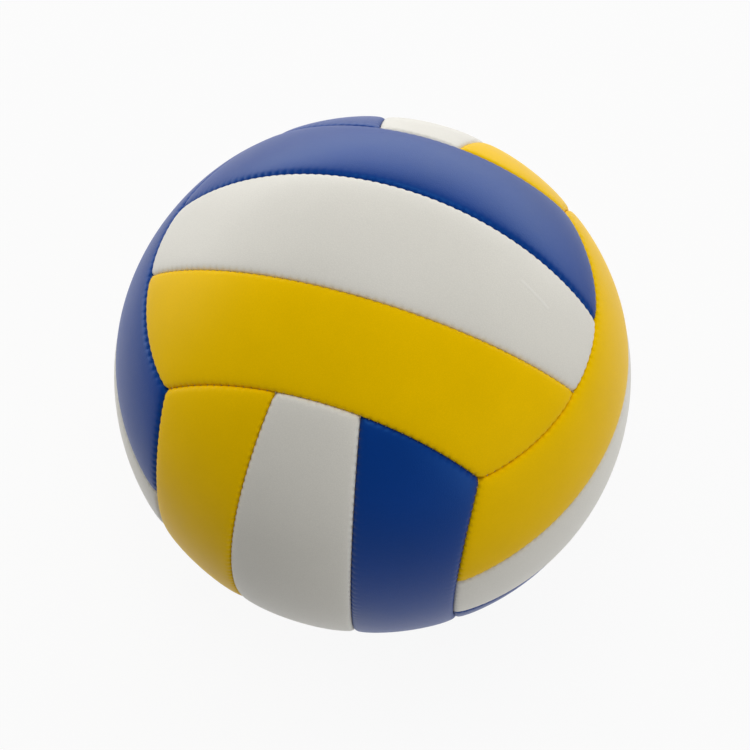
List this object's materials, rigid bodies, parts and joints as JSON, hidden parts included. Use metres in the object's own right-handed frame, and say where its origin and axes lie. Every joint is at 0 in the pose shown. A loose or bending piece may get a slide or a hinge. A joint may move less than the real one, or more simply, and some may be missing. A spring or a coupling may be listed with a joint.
{
  "type": "volleyball",
  "caption": "Inflated ball for volleyball with a sewn cover of strip panels in blue, white and yellow over foam, cloth and a rubber bladder with a needle valve.",
  "frame": {"origin": "centre of the ball", "axes": "+Z out through the middle of the top group of strips, which run along X; +Y out through the valve in the back group, whose strips run along Z; the strips of the left and right groups run along Y"},
  "size_m": [0.21, 0.2099, 0.21],
  "materials": {
    "skin_blue": "satin synthetic leather",
    "skin_white": "satin synthetic leather",
    "skin_yellow": "satin synthetic leather",
    "foam": "closed-cell foam",
    "lining_cloth": "plain woven cloth",
    "sewing_thread": "twisted thread",
    "butyl_rubber": "matte",
    "valve_rubber": "matte moulded"
  },
  "bodies": {
    "ball": {"bladder": "butyl_rubber", "foam_back_blue": "foam", "foam_back_white": "foam", "foam_back_yellow": "foam", "foam_bottom_blue": "foam", "foam_bottom_white": "foam", "foam_bottom_yellow": "foam", "foam_front_blue": "foam", "foam_front_white": "foam", "foam_front_yellow": "foam", "foam_left_blue": "foam", "foam_left_white": "foam", "foam_left_yellow": "foam", "foam_right_blue": "foam", "foam_right_white": "foam", "foam_right_yellow": "foam", "foam_top_blue": "foam", "foam_top_white": "foam", "foam_top_yellow": "foam", "lining_back": "lining_cloth", "lining_bottom": "lining_cloth", "lining_front": "lining_cloth", "lining_left": "lining_cloth", "lining_right": "lining_cloth", "lining_top": "lining_cloth", "panel_back_blue": "skin_blue", "panel_back_white": "skin_white", "panel_back_yellow": "skin_yellow", "panel_bottom_blue": "skin_blue", "panel_bottom_white": "skin_white", "panel_bottom_yellow": "skin_yellow", "panel_front_blue": "skin_blue", "panel_front_white": "skin_white", "panel_front_yellow": "skin_yellow", "panel_left_blue": "skin_blue", "panel_left_white": "skin_white", "panel_left_yellow": "skin_yellow", "panel_right_blue": "skin_blue", "panel_right_white": "skin_white", "panel_right_yellow": "skin_yellow", "panel_top_blue": "skin_blue", "panel_top_white": "skin_white", "panel_top_yellow": "skin_yellow", "stitching_back": "sewing_thread", "stitching_bottom": "sewing_thread", "stitching_front": "sewing_thread", "stitching_left": "sewing_thread", "stitching_right": "sewing_thread", "stitching_top": "sewing_thread", "valve_body": "valve_rubber"},
    "plug": {"valve_plug": "valve_rubber"}
  },
  "joints": [
    {"name": "plug_pull", "type": "slide", "parent": "ball", "child": "plug", "axis": [0, 1, 0], "range_m": [0, 0.014]}
  ]
}
